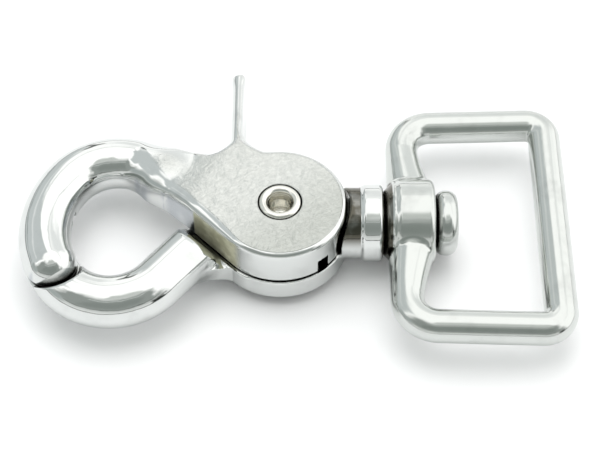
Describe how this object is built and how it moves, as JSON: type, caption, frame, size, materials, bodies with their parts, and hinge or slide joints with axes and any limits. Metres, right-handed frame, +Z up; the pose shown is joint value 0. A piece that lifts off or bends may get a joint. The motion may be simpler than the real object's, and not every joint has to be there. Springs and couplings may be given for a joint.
{
  "type": "swivel scissor snap hook",
  "caption": "Chromed scissor snap hook: lapping jaws on a pivot rivet, sprung by a thumb lever, with a swivelling square eye for webbing.",
  "frame": {"origin": "the middle of the square eye's far bar, where the strap pulls; the pivot rivet's axis is 31.7 mm away along -X and the swivel's axis runs through it", "axes": "+X along the swivel's axis away from the hook, +Y across towards the thumb lever, +Z up the rivet's axis through the moving plate"},
  "size_m": [0.0639, 0.0375, 0.0102],
  "materials": {
    "body_chrome": "bright plated zinc casting",
    "jaw_chrome": "bright plated zinc casting, flat face finely pitted",
    "rivet_steel": "plated steel, rolled head",
    "spring_steel": "hard drawn wire",
    "stud_chrome": "bright plated",
    "eye_chrome": "bright plated zinc casting"
  },
  "bodies": {
    "body": {"fixed_jaw": "body_chrome", "pivot_rivet": "rivet_steel", "swivel_stud": "stud_chrome", "torsion_spring": "spring_steel"},
    "jaw": {"moving_jaw": "jaw_chrome"},
    "eye": {"square_eye": "eye_chrome"}
  },
  "joints": [
    {"name": "jaw_pivot", "type": "hinge", "parent": "body", "child": "jaw", "pos_m": [-0.0317, 0, 0], "axis": [0, 0, 1], "range_deg": [-35, 0], "stiffness_Nm_per_rad": 0.047, "springref_deg": 60.16, "deforming": ["torsion_spring"]},
    {"name": "eye_swivel", "type": "hinge", "parent": "body", "child": "eye", "pos_m": [-0.0167, 0, 0], "axis": [1, 0, 0], "continuous": true}
  ]
}
